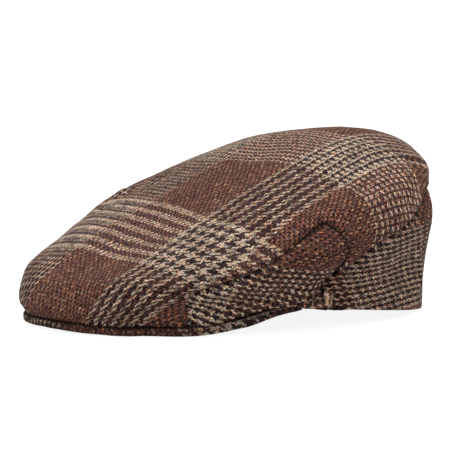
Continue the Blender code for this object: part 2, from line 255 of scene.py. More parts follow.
def bandShare(bench, yarn, bands, repeat):
    # How far the yarn is a cream one, and how far it belongs to a band at all
    inRepeat = bench.math("FLOORED_MODULO", yarn, float(repeat))
    cream, inBand = 0.0, 0.0
    for start, end, pair in bands:
        here = bench.math("MULTIPLY", bench.math("GREATER_THAN", inRepeat, start - 0.5),
                          bench.math("LESS_THAN", inRepeat, end - 0.5))
        along = bench.math("FLOORED_MODULO", bench.math("SUBTRACT", inRepeat, float(start)), float(pair))
        pale = bench.math("MULTIPLY", here, bench.math("LESS_THAN", along, pair / 2 - 0.5))
        cream = bench.math("ADD", cream, pale)
        inBand = bench.math("ADD", inBand, here)
    return cream, inBand


def checkedWool(name, shade=(1.0, 1.0, 1.0)):
    material = bpy.data.materials.new(name)
    bench = NodeBench(material)
    uv = bench.node("ShaderNodeUVMap", uv_map=clothMap).outputs[0]
    split = bench.node("ShaderNodeSeparateXYZ", {0: uv}).outputs
    flatX = bench.math("MULTIPLY", split[0], 1000 / weave["warpPitch"])
    flatY = bench.math("MULTIPLY", split[1], 1000 / weave["weftPitch"])

    noisePlaces = weave["noisePlaces"]

    def stray(a, b):
        wander, wriggle, fray = weave["wander"], weave["wriggle"], weave["fray"]
        elsewhere = bench.math("ADD", b, noisePlaces["fray"])
        slow = bench.math("SUBTRACT", bench.spot(a, b, wander["scale"], detail=3.0), 0.5)
        quick = bench.math("SUBTRACT", bench.spot(b, a, wriggle["scale"]), 0.5)
        loose = bench.math("SUBTRACT", bench.spot(elsewhere, a, fray["scale"]), 0.5)
        both = bench.math("MULTIPLY_ADD", slow, wander["yarns"],
                          bench.math("MULTIPLY", quick, wriggle["yarns"]))
        return bench.math("ADD", a, bench.math("MULTIPLY_ADD", loose, fray["yarns"], both))

    x, y = stray(flatX, flatY), stray(flatY, flatX)
    warp, weft = bench.math("FLOOR", x), bench.math("FLOOR", y)

    # 2/2 twill: the warp is on top of two wefts, then under two, one yarn further on each row
    step = bench.math("FLOORED_MODULO", bench.math("SUBTRACT", warp, weft), 4.0)
    warpOnTop = bench.math("LESS_THAN", step, 1.5)
    warpRun = bench.math("DIVIDE", bench.math("ADD", bench.math("SUBTRACT", warp, y), 1.0), 4.0)
    weftRun = bench.math("DIVIDE", bench.math("SUBTRACT", bench.math("SUBTRACT", x, weft), 2.0), 4.0)

    def hump(across, run):
        side = bench.math("MULTIPLY_ADD", bench.math("FRACT", across), 2.0, -1.0)
        along = bench.math("MULTIPLY_ADD", bench.math("FLOORED_MODULO", run, 1.0), 4.0, -1.0)
        back = bench.math("SUBTRACT", 1.0, bench.math("MULTIPLY", side, side))
        end = bench.math("SUBTRACT", 1.0, bench.math("MULTIPLY", along, along))
        return bench.math("MULTIPLY", back, bench.math("MULTIPLY_ADD", end, *weave["floatEnds"]))

    def pick(a, b):  # the warp's value where it is on top, and the weft's elsewhere
        return bench.math("ADD", bench.math("MULTIPLY", a, warpOnTop),
                          bench.math("MULTIPLY", b, bench.math("SUBTRACT", 1.0, warpOnTop)))

    def around(value, share):
        return bench.math("MULTIPLY", bench.math("SUBTRACT", value, 0.5), share)

    def flecks(kind, a, b):
        specks = bench.spot(a, b, weave[kind]["scale"], detail=3.0, roughness=0.8)
        return around(specks, weave[kind]["share"])

    height = pick(hump(x, warpRun), hump(y, weftRun))

    # Each yarn, each float and each stretch of fibres has its own place in the spin
    def spin(across, along, yarn, run):
        stretched = bench.math("MULTIPLY_ADD", along, weave["fibreLength"], noisePlaces["fibre"])
        fibre = bench.spot(across, stretched, weave["fibreScale"], detail=3.0, roughness=0.75)
        oneFloat = bench.speck(yarn, bench.math("FLOOR", run))
        wide = bench.math("MULTIPLY_ADD", bench.math("SUBTRACT", fibre, 0.5), weave["fibreSpread"], 0.5)
        place = bench.math("MULTIPLY_ADD", bench.math("SUBTRACT", oneFloat, 0.5), weave["floatSpin"], wide)
        return place, oneFloat

    warpSpin, warpFloat = spin(x, y, warp, warpRun)
    weftSpin, weftFloat = spin(y, bench.math("ADD", x, noisePlaces["weft"]), weft, weftRun)

    def yarnColour(yarn, bands, repeat, place, strength):
        cream, inBand = bandShare(bench, yarn, bands, repeat)
        banded = bench.blend(cream, bench.ramp(place, weave["dark"]), bench.ramp(place, weave["cream"]))
        second = bench.math("FLOORED_MODULO", yarn, 2.0)  # in the ground, rust and brown yarns take turns
        mixed = bench.blend(second, bench.ramp(place, weave["rust"]), bench.ramp(place, weave["brown"]))
        ground = bench.scaled(mixed, strength)
        return bench.blend(inBand, ground, banded)

    warpColour = yarnColour(warp, weave["warpBands"], weave["warpRepeat"], warpSpin, weave["warpGround"])
    weftColour = yarnColour(weft, weave["weftBands"], weave["weftRepeat"], weftSpin, weave["weftGround"])
    colour = bench.blend(warpOnTop, weftColour, warpColour)

    # How light each place is: its float, its yarn, its flecks, the painted light and shade of its depth, the
    # dye, and the painted shade of seams and of the crown's edge over the peak
    perYarn = pick(bench.speck(warp, noisePlaces["warpYarn"]), bench.speck(noisePlaces["weftYarn"], weft))
    uneven = bench.math("ADD", around(pick(warpFloat, weftFloat), weave["floatContrast"]),
                        around(perYarn, weave["yarnContrast"]))
    uneven = bench.math("ADD", uneven, flecks("fleck", flatX, flatY))
    patches = weave["dyePatches"]
    dye = bench.spot(flatX, flatY, patches["scale"], detail=3.0)
    tone = bench.math("MULTIPLY", bench.math("MULTIPLY_ADD", height, *weave["yarnLightAndShade"]),
                      bench.math("MULTIPLY_ADD", dye, patches["share"], patches["least"]))
    tone = bench.math("MULTIPLY", tone, bench.math("ADD", uneven, 1.0))
    # Painted shade read from the mesh: dark along the seams, and on the peak's top under the crown's edge
    seam = bench.node("ShaderNodeAttribute", attribute_name=paintedShadeMap).outputs["Fac"]
    tone = bench.math("MULTIPLY", tone, bench.math("MULTIPLY_ADD", seam, -weave["paintedShadeStrength"], 1.0))

    hue = flecks("hueFleck", flatY, flatX)
    green = bench.math("ADD", flecks("greenFleck", y, x), 1.0)
    red, blue = bench.math("ADD", hue, 1.0), bench.math("SUBTRACT", 1.0, hue)
    tint = bench.node("ShaderNodeCombineXYZ", {0: red, 1: green, 2: blue}).outputs[0]
    # The colour times the material's painted shade, then times the hue flecks
    shadedAndFlecked = bench.node("ShaderNodeVectorMath", {0: colour, 1: shade}, operation="MULTIPLY").outputs[0]
    shadedAndFlecked = bench.node("ShaderNodeVectorMath", {0: shadedAndFlecked, 1: tint}, operation="MULTIPLY").outputs[0]
    bench.feed(bench.shader.inputs["Base Color"], bench.scaled(shadedAndFlecked, tone))

    fuzz = bench.spot(x, y, weave["fuzz"]["scale"], detail=3.0, roughness=0.7)
    surface = bench.math("MULTIPLY_ADD", fuzz, weave["fuzz"]["height"], height)
    relief = {"Height": surface, "Strength": weave["bumpStrength"], "Distance": weave["yarnHeight"] * mm}
    bench.feed(bench.shader.inputs["Normal"], bench.node("ShaderNodeBump", relief).outputs[0])
    smooth, rough = weave["roughness"]
    roughness = bench.node("ShaderNodeMapRange", {0: fuzz, 3: smooth, 4: rough}).outputs[0]
    bench.feed(bench.shader.inputs["Roughness"], roughness)
    for name, value in weave["gloss"].items():
        bench.shader.inputs[name].default_value = value
    return material


# The back wall and the peak take copies of the same wool darkened with painted shade, the back's a little
# warmer too
woolOfCrown = checkedWool("checkedWool")
shadedWoolOfBack = checkedWool("checkedWoolShadedForBack", (0.82, 0.76, 0.73))
shadedWoolOfPeak = checkedWool("checkedWoolShadedForPeak", (0.60, 0.60, 0.62))
print("the wool is woven")


def copyOfNode(node, name):
    # The CAD panel's mesh in a new object, its loose triangles joined
    source = bpy.data.objects[node]
    ob = bpy.data.objects.new(name, source.data.copy())
    bpy.context.scene.collection.objects.link(ob)
    ob.data.materials.clear()
    makeActive(ob)
    bpy.ops.object.mode_set(mode="EDIT")
    bpy.ops.mesh.select_all(action="SELECT")
    bpy.ops.mesh.remove_doubles(threshold=0.06 * mm)
    if ob.data.has_custom_normals:
        bpy.ops.mesh.customdata_custom_splitnormals_clear()
    bpy.ops.object.mode_set(mode="OBJECT")
    return ob


def keepOuterSkin(ob):
    # Each point of the wall has a twin through the cloth, and the outer skin's faces have only outer points
    middle = Vector((0, headMiddle, 0.03))
    makeActive(ob)
    bpy.ops.object.mode_set(mode="EDIT")
    edit = bmesh.from_edit_mesh(ob.data)
    tree = KDTree(len(edit.verts))
    for vertex in edit.verts:
        tree.insert(vertex.co, vertex.index)
    tree.balance()
    outer = set()
    for vertex in edit.verts:
        best, through = 0.0, None
        for place, _, distance in tree.find_range(vertex.co, cadWall + twinSlack):
            if distance > cadWall - twinSlack:
                direction = (vertex.co - place) / distance
                if abs(direction.dot(vertex.normal)) > best:
                    best, through = abs(direction.dot(vertex.normal)), direction
        if through and through.dot(vertex.co - middle) > 0:
            outer.add(vertex)
    for face in edit.faces:
        face.select = not all(vertex in outer for vertex in face.verts)
    bmesh.update_edit_mesh(ob.data)
    bpy.ops.mesh.select_mode(type="FACE")
    bpy.ops.mesh.delete(type="FACE")
    bpy.ops.mesh.select_all(action="SELECT")
    bpy.ops.mesh.tris_convert_to_quads(face_threshold=1.2, shape_threshold=1.2)
    edit = bmesh.from_edit_mesh(ob.data)
    turn = len(edit.verts) - len(edit.edges) + len(edit.faces)
    print(" ", ob.name, len(edit.faces), "faces in one sheet" if turn == 1 else "faces, not in one sheet")
    bpy.ops.object.mode_set(mode="OBJECT")


def startMap(ob):
    layers = ob.data.uv_layers
    while layers:
        layers.remove(layers[0])
    layers.new(name=clothMap)


def unwrapFlat(ob):
    startMap(ob)
    makeActive(ob)
    bpy.ops.object.mode_set(mode="EDIT")
    bpy.ops.mesh.select_all(action="SELECT")
    bpy.ops.uv.unwrap(method="MINIMUM_STRETCH", margin=0.0)
    bpy.ops.object.mode_set(mode="OBJECT")


def readPoints(ob):
    points = np.empty(len(ob.data.vertices) * 3)
    ob.data.vertices.foreach_get("co", points)
    return points.reshape(-1, 3)


def writePoints(ob, points):
    ob.data.vertices.foreach_set("co", np.asarray(points).ravel())
    ob.data.update()


def readNormals(ob):
    normals = np.empty(len(ob.data.vertices) * 3)
    ob.data.vertices.foreach_get("normal", normals)
    return normals.reshape(-1, 3)


def readLoops(ob):
    loops = np.empty(len(ob.data.loops), np.int64)
    ob.data.loops.foreach_get("vertex_index", loops)
    return loops


def readMap(ob):
    # One place on the cloth for each vertex
    loops = readLoops(ob)
    flat = np.empty(len(loops) * 2)
    ob.data.uv_layers[clothMap].data.foreach_get("uv", flat)
    places = np.zeros((len(ob.data.vertices), 2))
    places[loops] = flat.reshape(-1, 2)
    return places


def writeMap(ob, places):
    ob.data.uv_layers[clothMap].data.foreach_set("uv", places[readLoops(ob)].ravel())


# Painted shade, stored per point for the wool's shader
def writePaintedShade(ob, dark):
    shading = ob.data.attributes.new(paintedShadeMap, "FLOAT", "POINT")
    shading.data.foreach_set("value", dark)


def areas(ob, places):
    ob.data.calc_loop_triangles()
    corners = np.empty(len(ob.data.loop_triangles) * 3, np.int64)
    ob.data.loop_triangles.foreach_get("vertices", corners)
    corners = corners.reshape(-1, 3)
    a, b, c = (readPoints(ob)[corners[:, k]] for k in range(3))
    real = np.linalg.norm(np.cross(b - a, c - a), axis=1).sum() / 2
    p, q, r = (places[corners[:, k]] for k in range(3))
    flat = ((q - p)[:, 0] * (r - p)[:, 1] - (q - p)[:, 1] * (r - p)[:, 0]).sum() / 2
    return real, flat


checkFit = {
    "softness": 0.045,  # m over which the pull of one place fades
    "firmness": 0.35,  # how far the cloth resists being pulled
    "slant": 3.0,  # weight of an even stretch against a plain shift
    "slantNeeds": 5,  # places on the lines, below which there is a plain shift alone
}


def layCheck(ob, towards, lines):
    # Turns the flat map so that its axes run as asked, at real size, then eases it so that each named line
    # of the check, [axis, yarn, places in mm], passes through its places
    points = readPoints(ob)
    places = readMap(ob)
    real, flat = areas(ob, places)
    z = places[:, 0] + 1j * places[:, 1]
    target = towards(points)
    z0, t0 = z.mean(), target.mean()
    turn = (np.conj(z - z0) * (target - t0)).sum()
    turn /= abs(turn)
    z = (z - z0) * turn * math.sqrt(real / abs(flat)) + t0
    places = np.stack([z.real, z.imag], axis=1)
    tree = KDTree(len(points))
    for k, point in enumerate(points):
        tree.insert(point, k)
    tree.balance()
    softness = checkFit["softness"]
    eased = places.copy()
    for axis, axisName in enumerate(("across", "along")):
        named = [(place, yarn) for lineAxis, yarn, through in lines
                 if lineAxis == axisName for place in through]
        if not named:
            continue
        near = np.array([tree.find(Vector(place) * mm)[1] for place, _ in named])
        wanted = np.array([yarn * mm for _, yarn in named])
        at = places[near]
        lack = wanted - at[:, axis]

        def evenPart(where):
            one = np.ones((len(where), 1))
            return np.hstack([one, where * checkFit["slant"]]) if len(at) >= checkFit["slantNeeds"] else one

        keep = np.linalg.lstsq(evenPart(at), lack, rcond=None)[0]
        rest = lack - evenPart(at) @ keep
        spread = np.exp(-((at[:, None] - at[None]) ** 2).sum(2) / softness**2)
        weights = np.linalg.solve(spread + checkFit["firmness"] * np.eye(len(at)), rest)
        shift = evenPart(places) @ keep
        for k, weight in enumerate(weights):
            shift += weight * np.exp(-((places - at[k]) ** 2).sum(1) / softness**2)
        eased[:, axis] += shift
        before, after = np.abs(lack - lack.mean()).mean(), np.abs(wanted - eased[near, axis]).mean()
        words = "   %s the warp, lines off by %.1f mm at first, %.1f mm left"
        print(words % (axisName, before / mm, after / mm))
    writeMap(ob, eased)


def edgeRuns(ob):
    # Vertices of the open edge, with their run along it
    edit = bmesh.new()
    edit.from_mesh(ob.data)
    order, run, left = [], [], {v for v in edit.verts if v.is_boundary}
    so = 0.0
    while left:
        here = min(left, key=lambda v: v.index)
        while here:
            left.discard(here)
            order.append(here.index)
            run.append(so)
            beside = (edge.other_vert(here) for edge in here.link_edges if edge.is_boundary)
            after = next((vertex for vertex in beside if vertex in left), None)
            so += (after.co - here.co).length if after else 0.0
            here = after
    edit.free()
    return order, readPoints(ob)[order], np.array(run)


def softNoise(points, size, seed):
    return np.array([noise.noise(Vector(p) / size + Vector((seed, 2.3 * seed, -seed))) for p in points])


# The seam's sink and its painted shade hardly show round the side panel's front end: place and reach in mm
hiddenSeam = {"place": (71, -79, 16), "reach": 12.0, "share": 0.8}
seamPucker = {
    "drift": 9.0,  # mm over which the puckers change
    "shuffle": 5.0,  # how far that moves them
    "usual": 0.6,  # their usual height, and how much of it changes
    "change": 0.8,
    "startsAt": 0.8,  # mm from the edge
}


def sewEdges(ob, values):
    # The cloth sinks into each sewn edge, swells beside it, and puckers along it, and painted shade darkens
    # the edge
    order, edge, run = edgeRuns(ob)
    sewn = [k for k in range(len(order)) if not values["isRim"](edge[k])]
    tree = KDTree(len(sewn))
    for k, which in enumerate(sewn):
        tree.insert(edge[which], k)
    tree.balance()
    points, normals = readPoints(ob), readNormals(ob)
    away, along = np.empty(len(points)), np.empty(len(points))
    for k, point in enumerate(points):
        _, which, distance = tree.find(point)
        away[k], along[k] = distance, run[sewn[which]]
    drift = seamPucker["drift"] * mm
    steps = np.array([noise.noise(Vector((s / drift, 0.3, values["seed"]))) for s in along])
    waves = np.sin(2 * math.pi * along / (values["puckerLength"] * mm) + seamPucker["shuffle"] * steps)
    waves *= seamPucker["usual"] + seamPucker["change"] * steps
    waves *= 1 - np.exp(-(away / (seamPucker["startsAt"] * mm)) ** 2)
    mirrored = np.column_stack([np.abs(points[:, 0]) / mm, points[:, 1:] / mm])
    apart = np.linalg.norm(mirrored - np.array(hiddenSeam["place"]), axis=1)
    shown = 1 - hiddenSeam["share"] * np.exp(-(apart / hiddenSeam["reach"]) ** 2)
    lift = -values["sink"] * shown * np.exp(-(away / (values["sinkReach"] * mm)) ** 2)
    lift += values["swell"] * np.exp(-((away / mm - values["swellAt"]) / values["swellWidth"]) ** 2)
    lift += values["pucker"] * waves * np.exp(-away / (values["puckerReach"] * mm))
    moved = points + normals * lift[:, None] * mm
    low = points[:, 2] < rimHeight * mm
    moved[low, 2] = np.maximum(moved[low, 2], points[low, 2])
    writePoints(ob, moved)
    # Painted shade along the sewn edge
    writePaintedShade(ob, shown * np.exp(-(away / (values["shadeReach"] * mm)) ** 2))


foldFullness = 0.6  # the lower, the nearer to its ends a fold keeps its height


def pressFolds(ob, folds):
    # Each fold follows its places, fades at both ends, and has a half width and a height, all in mm
    points, normals = readPoints(ob), readNormals(ob)
    lift = np.zeros(len(points))
    for places, width, height in folds:
        path = np.array(places) * mm
        lengths = np.linalg.norm(np.diff(path, axis=0), axis=1)
        whole, so = lengths.sum(), 0.0
        away, share = np.full(len(points), 1.0), np.zeros(len(points))
        for a, b, length in zip(path[:-1], path[1:], lengths):
            along = np.clip((points - a) @ (b - a) / length**2, 0, 1)
            apart = np.linalg.norm(points - (a + along[:, None] * (b - a)), axis=1)
            nearer = apart < away
            away[nearer], share[nearer] = apart[nearer], (so + along[nearer] * length) / whole
            so += length
        lift += height * np.sin(np.pi * share) ** foldFullness * np.exp(-(away / mm / width) ** 2)
    writePoints(ob, points + normals * lift[:, None] * mm)


def shapeCrown(ob):
    # Moves that depend on the place alone, so that neighbouring panels stay joined
    points = readPoints(ob)
    puff = crownShape["puff"]
    away = points[:, :2] - np.array((0.0, headMiddle))
    away /= np.linalg.norm(away, axis=1)[:, None]
    front = np.clip((-points[:, 1] / mm - puff["behind"]) / puff["fade"], 0, 1)
    lift = front * np.exp(-(((points[:, 2] / mm) - puff["height"]) / puff["reach"]) ** 2)
    points[:, :2] += away * (puff["outward"] * mm * lift)[:, None]
    droop = crownShape["droop"]
    front = np.clip((-points[:, 1] / mm - droop["behind"]) / droop["fade"], 0, 1)
    low = np.clip((droop["none"] - points[:, 2] / mm) / (droop["none"] - droop["full"]), 0, 1)
    points[:, 2] -= droop["down"] * mm * front * front * (3 - 2 * front) * low * low * (3 - 2 * low)
    start = points.copy()
    for place, reach, move in crownShape["pulls"]:
        apart = np.linalg.norm(start - np.array(place) * mm, axis=1) / mm
        points += np.exp(-(apart / reach) ** 2)[:, None] * np.array(move) * mm
    writePoints(ob, points)


def ripple(ob, values):
    points, normals = readPoints(ob), readNormals(ob)
    lift = np.zeros(len(points))
    for size, height, seed in values:
        lift += height * softNoise(points, size * mm, seed)
    writePoints(ob, points + normals * lift[:, None] * mm)


cornerAngle = 32  # degrees


def creaseCorners(ob):
    # Corners of a panel stay where they are when it is subdivided
    edit = bmesh.new()
    edit.from_mesh(ob.data)
    crease = edit.verts.layers.float.new("crease_vert")
    for vertex in edit.verts:
        ends = [e.other_vert(vertex).co - vertex.co for e in vertex.link_edges if e.is_boundary]
        if len(ends) == 2 and ends[0].angle(-ends[1]) > math.radians(cornerAngle):
            vertex[crease] = 1.0
    edit.to_mesh(ob.data)
    edit.free()


# The edges overlap less in the hook's inner bend: place and reach in mm
tightNook = {"place": (80, 1, 22), "reach": 7.0, "share": 0.35}


def closeSeams(ob, isRim, reach):
    # Each sewn edge goes a little past the middle of the seam, so that no light comes through
    edit = bmesh.new()
    edit.from_mesh(ob.data)
    moves = {}
    for edge in edit.edges:
        if edge.is_boundary and not all(isRim(v.co) for v in edge.verts):
            face = edge.link_faces[0]
            along = (edge.verts[1].co - edge.verts[0].co).normalized()
            out = edge.verts[0].co - face.calc_center_median()
            out = (out - along * out.dot(along)).normalized()
            for vertex in edge.verts:
                if vertex.co.z < rimHeight * mm:
                    out.z = max(out.z, 0.0)
                moves[vertex] = moves.get(vertex, Vector()) + out
    for vertex, out in moves.items():
        mirrored = Vector((abs(vertex.co.x), vertex.co.y, vertex.co.z)) / mm
        nook = (mirrored - Vector(tightNook["place"])).length / tightNook["reach"]
        vertex.co += out.normalized() * reach * (1 - tightNook["share"] * math.exp(-nook * nook)) * mm
    edit.to_mesh(ob.data)
    edit.free()


def smoothInside(ob, rounds):
    makeActive(ob)
    bpy.ops.object.mode_set(mode="EDIT")
    bpy.ops.mesh.select_mode(type="VERT")
    edit = bmesh.from_edit_mesh(ob.data)
    for vertex in edit.verts:
        vertex.select = not vertex.is_boundary
    edit.select_flush_mode()
    bmesh.update_edit_mesh(ob.data)
    bpy.ops.mesh.vertices_smooth(factor=0.5, repeat=rounds)
    bpy.ops.object.mode_set(mode="OBJECT")


def finishPanel(ob, node, wall, rounding, material):
    applyModifier(ob, "SOLIDIFY", thickness=wall * mm, offset=-1.0, use_even_offset=False)
    applyModifier(ob, "BEVEL", width=rounding * mm, segments=2,
                  limit_method="ANGLE", angle_limit=math.radians(60))
    ob.data.materials.append(material)
    makeActive(ob)
    bpy.ops.object.shade_smooth()
    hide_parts(node)
    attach(ob, "root")


crownShape = {
    # The rolled edge over the peak swells forward
    "puff": {"behind": 45.0, "fade": 30.0, "height": 9.0, "reach": 7.0, "outward": 2.5},
    # and its middle hangs lower: from y, over so many mm, and the heights between which it fades
    "droop": {"behind": 90.0, "fade": 16.0, "full": 12.0, "none": 32.0, "down": 2.8},
    # Place, reach and move in mm
    "pulls": [
        ((88, 66, 52), 12.0, (0.9, 0.6, 0)),
        ((-88, 66, 52), 12.0, (-0.9, 0.6, 0)),
        ((-34, 0, 76), 26.0, (0, 0, -1.9)),  # the far slope is a little hollow
        ((-62, -5, 70), 8.0, (0.5, 0.5, -3.2)),
        ((-76, -18, 63), 5.5, (-0.8, -0.4, 1.2)),  # where the side panel's point stands out
        ((-68, -37, 56), 9.0, (0, 0, -2.8)),
        ((78, 80, 46), 12.0, (0.5, 0.5, 0)),
        ((30, 62, 98), 26.0, (0, 0, 1.2)),
        ((84, -14, 13), 9.0, (0, 0, -2.3)),  # the rim comes down behind the peak's end
        ((-84, -14, 13), 9.0, (0, 0, -2.3)),
        ((78, 78, 66), 12.0, (0.9, 0.9, 0)),  # the crown's back overhangs the wall
        ((-78, 78, 66), 12.0, (-0.9, 0.9, 0)),
        ((70, 86, 82), 8.0, (0.8, 1.2, 0.8)),
        ((-70, 86, 82), 8.0, (-0.8, 1.2, 0.8)),
    ],
}
topCloth = {
    "smoothing": 5,
    "wall": 1.9,
    "overlap": 0.4,
    "rounding": 0.6,
    "edges": {
        # An open edge is the rim where it lies low and in the panel's own bearing from the head's middle
        "isRim": lambda p: p[2] < 0.0095 and abs(p[0]) < 0.71 * (headMiddle - p[1]),
        "seed": 3.0,
        "sink": 0.6, "sinkReach": 1.0, "shadeReach": 1.3, "swell": 0.45, "swellAt": 3.2, "swellWidth": 1.8,
        "pucker": 0.24, "puckerLength": 8.0, "puckerReach": 6.0,
    },
    # Lines of the check: the side of the cloth's map, the yarn, and places in mm where the line passes.
    # Most places were worked out by a program, from pixels of the photograph cast onto the cap.
    "check": [
        ("across", 0, [(31, -111, 11), (39, -110, 19), (42, -103, 26), (39, -92, 33), (38, -82, 38),
                       (36, -67, 45), (34, -51, 53), (34, -37, 59), (36, -20, 67), (38, -4, 76),
                       (42, 18, 86), (35, 52, 96), (34, 79, 98)]),
        ("across", 26, [(56, -98, 21), (61, -69, 41), (62, -44, 54), (62, -4, 72)]),
        ("across", 52, [(48, -97, 10), (57, -91, 14), (69, -79, 18), (79, -69, 27), (85, -58, 36),
                        (86, -44, 44), (84, -15, 62), (81, 15, 74), (73, 43, 84), (71, 69, 85)]),
        ("across", -64, [(-17, -106, 28), (-28, -83, 38), (-28, -56, 50), (-28, -31, 62), (-24, -11, 73),
                         (-19, 10, 84), (-18, 24, 90), (-18, 37, 94), (-15, 53, 98)]),
        ("along", 2, [(-46, -77, 39), (-28, -81, 39), (10, -84, 38), (40, -84, 36), (55, -82, 35),
                      (67, -79, 33), (78, -73, 28)]),
        ("along", 26, [(38, -64, 47), (53, -62, 46), (68, -62, 43), (81, -59, 39)]),
        ("along", 50, [(-68, -29, 60), (-30, -31, 62), (1, -34, 60), (35, -42, 57), (53, -42, 56),
                       (70, -43, 53), (84, -42, 48)]),
        ("along", 108, [(-17, 10, 84), (18, 11, 85), (47, 14, 83), (77, 18, 76), (94, 18, 69),
                        (100, 22, 61), (102, 21, 54), (97, 23, 43)]),
        ("along", 131, [(97, 37, 67), (98, 46, 58)]),
        ("along", 154, [(-13, 53, 98), (34, 57, 97), (58, 69, 91)]),
    ],
    # Places in mm along each fold, half its width, and its height
    "folds": [
        # Crease at the crown's back
        (((74, 62, 84), (73, 69, 84), (71, 73, 85), (70, 81, 84), (68, 90, 82)), 2.2, -1.3),
        (((72, 60, 87), (69, 76, 88), (66, 88, 85)), 4.0, 0.7),
        (((-72, -30, 58), (-68, -19, 64), (-63, -12, 68)), 3.6, 2.0),  # knob on the far side
        (((-74, -38, 54), (-72, -30, 58)), 4.0, -1.0),
        (((-62, -10, 69), (-58, -4, 72)), 4.0, -1.0),
    ],
    "ripples": ((34.0, 1.3, 4.1), (15.0, 0.45, 7.7)),
}
sideCloth = {
    "smoothing": 3,
    "wall": 1.9,
    "overlap": 1.7,
    "rounding": 0.6,
    "edges": {
        "isRim": lambda p: (p[2] < 0.0158
                            and 0.755 * (headMiddle - p[1]) < abs(p[0]) < 5.6 * (headMiddle - p[1])),
        "seed": 5.0,
        "sink": 1.3, "sinkReach": 1.9, "shadeReach": 2.3, "swell": 0.45, "swellAt": 4.6, "swellWidth": 1.6,
        "pucker": 0.22, "puckerLength": 7.0, "puckerReach": 5.0,
    },
    "check": [
        ("across", -126, [(92, -44, 37), (97, -26, 35), (94, -6, 31)]),
        ("across", -94, [(76, -74, 25), (77, -62, 19), (76, -49, 13), (82, -33, 13)]),
        ("across", -103, [(84, -15, 14), (83, 3, 15)]),
        ("along", 142, [(74, -72, 20)]),
        ("along", 158, [(75, -52, 14), (82, -52, 22), (88, -51, 30)]),
        ("along", 200, [(81, 0, 20)]),
    ],
    "mirrorAlong": 266,  # on the other side, a line lies on this yarn less its own
    "ripples": ((22.0, 0.7, 1.1), (11.0, 0.3, 9.7)),
}
backCloth = {
    "smoothing": 4,
    "wall": 1.9,
    "overlap": 1.7,
    "rounding": 0.6,
    "edges": {
        "isRim": lambda p: p[2] < 0.0118 and abs(p[0]) < 9.0 * abs(p[1] - headMiddle) + 0.2 * (p[1] > 0.012),
        "seed": 8.0,
        "sink": 1.3, "sinkReach": 1.9, "shadeReach": 2.3, "swell": 0.3, "swellAt": 4.6, "swellWidth": 1.6,
        "pucker": 0.22, "puckerLength": 7.0, "puckerReach": 5.0,
    },
    "check": [
        ("across", -126, [(88, 70, 52), (60, 96, 54), (0, 117, 56)]),
        ("across", -116, [(95, 44, 42)]),
        ("across", -98, [(89, 16, 27)]),
        ("across", -88, [(84, 43, 22)]),
        ("across", -77, [(86, 24, 13)]),
        ("across", -68, [(73, 71, 8), (50, 99, 8), (0, 119, 8)]),
        ("along", 108, [(86, 18, 22), (86, 19, 14), (90, 15, 29)]),
        ("along", 128, [(93, 32, 35)]),
        ("along", 136, [(79, 58, 18)]),
        ("along", 148, [(66, 83, 15), (91, 59, 44)]),
    ],
    "folds": [
        # Soft fold by the end that the photograph shows
        (((88, 60, 44), (77, 74, 33), (67, 85, 24), (65, 87, 16), (69, 80, 7)), 2.6, 1.7),
        (((84, 70, 42), (72, 84, 33), (60, 94, 24), (58, 95, 14)), 3.6, -1.0),
        (((90, 48, 36), (84, 62, 26), (76, 72, 14)), 5.0, -0.6),
    ],
    "ripples": ((26.0, 0.9, 2.2), (12.0, 0.3, 5.7)),
}


# The rim runs straight past the tuck: x beyond, y from and to, its height at y = 0, and its fall per mm
rimByTuck = {"beyond": 70, "from": -4.0, "to": 14.0, "height": 9.7, "fall": 0.08}
tuck = {
    "place": (84.8, 3.2, 15.5),
    "lean": 8.0,  # degrees that its top leans forward
    # Along the rim, half width and half height of each fold of cloth
    "leaves": ((-0.7, 1.2, 5.4), (1.5, 0.8, 4.2)),
    "thick": 2.3,
    "cloth": (2.0, 2.0),  # mm on the cloth where it is cut
    "gathered": (0.8, 0.33),  # mm of that cloth for each mm along the rim and up
}


def addTucks(ob, material):
    # Where the side panel's hook meets the rim, the spare cloth is pinched into two small upright folds
    for side in (1, -1):
        for along, wide, high in tuck["leaves"]:
            deselectAll()
            x, y, z = tuck["place"]
            middle = (side * x * mm, (y + along) * mm, z * mm)
            bpy.ops.mesh.primitive_uv_sphere_add(segments=16, ring_count=12, radius=1.0, location=middle)
            leaf = bpy.context.object
            leaf.scale = (tuck["thick"] * mm, wide * mm, high * mm)
            leaf.rotation_euler = (math.radians(tuck["lean"] * (1 if along < 0 else -1)), 0, 0)
            bpy.ops.object.transform_apply(location=True, rotation=True, scale=True)
            points = readPoints(leaf)
            startMap(leaf)
            flat = [start * mm + gathered * (points[:, axis] - middle[axis])
                    for start, gathered, axis in zip(tuck["cloth"], tuck["gathered"], (1, 2))]
            writeMap(leaf, np.stack(flat, axis=1))
            leaf.data.materials.append(material)
            makeActive(ob)
            leaf.select_set(True)
            bpy.ops.object.join()


def levelRim(ob):
    points = readPoints(ob)
    y = points[:, 1] / mm
    near = (np.abs(points[:, 0]) > rimByTuck["beyond"] * mm) & (y > rimByTuck["from"]) & (y < rimByTuck["to"])
    least = (rimByTuck["height"] - rimByTuck["fall"] * y) * mm
    points[near, 2] = np.maximum(points[near, 2], least[near])
    points[:, 2] = np.maximum(points[:, 2], 0)
    writePoints(ob, points)


def mirrorLine(mirrorAlong, axis, yarn, through):
    return axis, mirrorAlong - yarn if axis == "along" else yarn, [(-x, y, z) for x, y, z in through]


